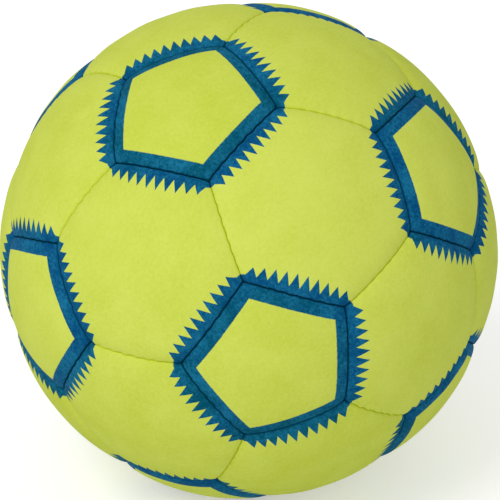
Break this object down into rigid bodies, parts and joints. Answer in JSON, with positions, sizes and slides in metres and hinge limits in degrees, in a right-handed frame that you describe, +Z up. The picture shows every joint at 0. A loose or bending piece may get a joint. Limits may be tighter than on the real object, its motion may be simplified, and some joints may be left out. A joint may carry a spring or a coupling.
{
  "type": "indoor soccer ball",
  "caption": "Felt-covered indoor soccer ball of sewn hexagon and pentagon panels over cloth backings and an inflated rubber bladder with a self-sealing needle valve.",
  "frame": {"origin": "centre of the ball", "axes": "+X, +Y and +Z each pass through the middle of a seam between two hexagons; +Z is up, and the seam that it passes through runs along Y. The valve's axis is (-1, 1, 1)."},
  "size_m": [0.218, 0.218, 0.218],
  "materials": {
    "felt": "short-napped lime felt with a petrol blue printed band round each pentagon",
    "backing_cloth": "plain woven cloth, glued in layers",
    "seam_thread": "dark waxed thread",
    "bladder_rubber": "smooth black rubber",
    "valve_rubber": "matt black rubber"
  },
  "bodies": {
    "root": {"hexagon_panel_01": "felt", "hexagon_panel_02": "felt", "hexagon_panel_03": "felt", "hexagon_panel_04": "felt", "hexagon_panel_05": "felt", "hexagon_panel_06": "felt", "hexagon_panel_07": "felt", "hexagon_panel_08": "felt", "hexagon_panel_09": "felt", "hexagon_panel_10": "felt", "hexagon_panel_11": "felt", "hexagon_panel_12": "felt", "hexagon_panel_13": "felt", "hexagon_panel_14": "felt", "hexagon_panel_15": "felt", "hexagon_panel_16": "felt", "hexagon_panel_17": "felt", "hexagon_panel_18": "felt", "hexagon_panel_19": "felt", "hexagon_panel_20": "felt", "pentagon_panel_01": "felt", "pentagon_panel_02": "felt", "pentagon_panel_03": "felt", "pentagon_panel_04": "felt", "pentagon_panel_05": "felt", "pentagon_panel_06": "felt", "pentagon_panel_07": "felt", "pentagon_panel_08": "felt", "pentagon_panel_09": "felt", "pentagon_panel_10": "felt", "pentagon_panel_11": "felt", "pentagon_panel_12": "felt", "hexagon_backings": "backing_cloth", "pentagon_backings": "backing_cloth", "hexagon_seam_threads": "seam_thread", "pentagon_seam_threads": "seam_thread", "bladder": "bladder_rubber", "valve_patch": "backing_cloth", "valve_housing": "valve_rubber", "valve_plug": "valve_rubber"}
  },
  "joints": []
}
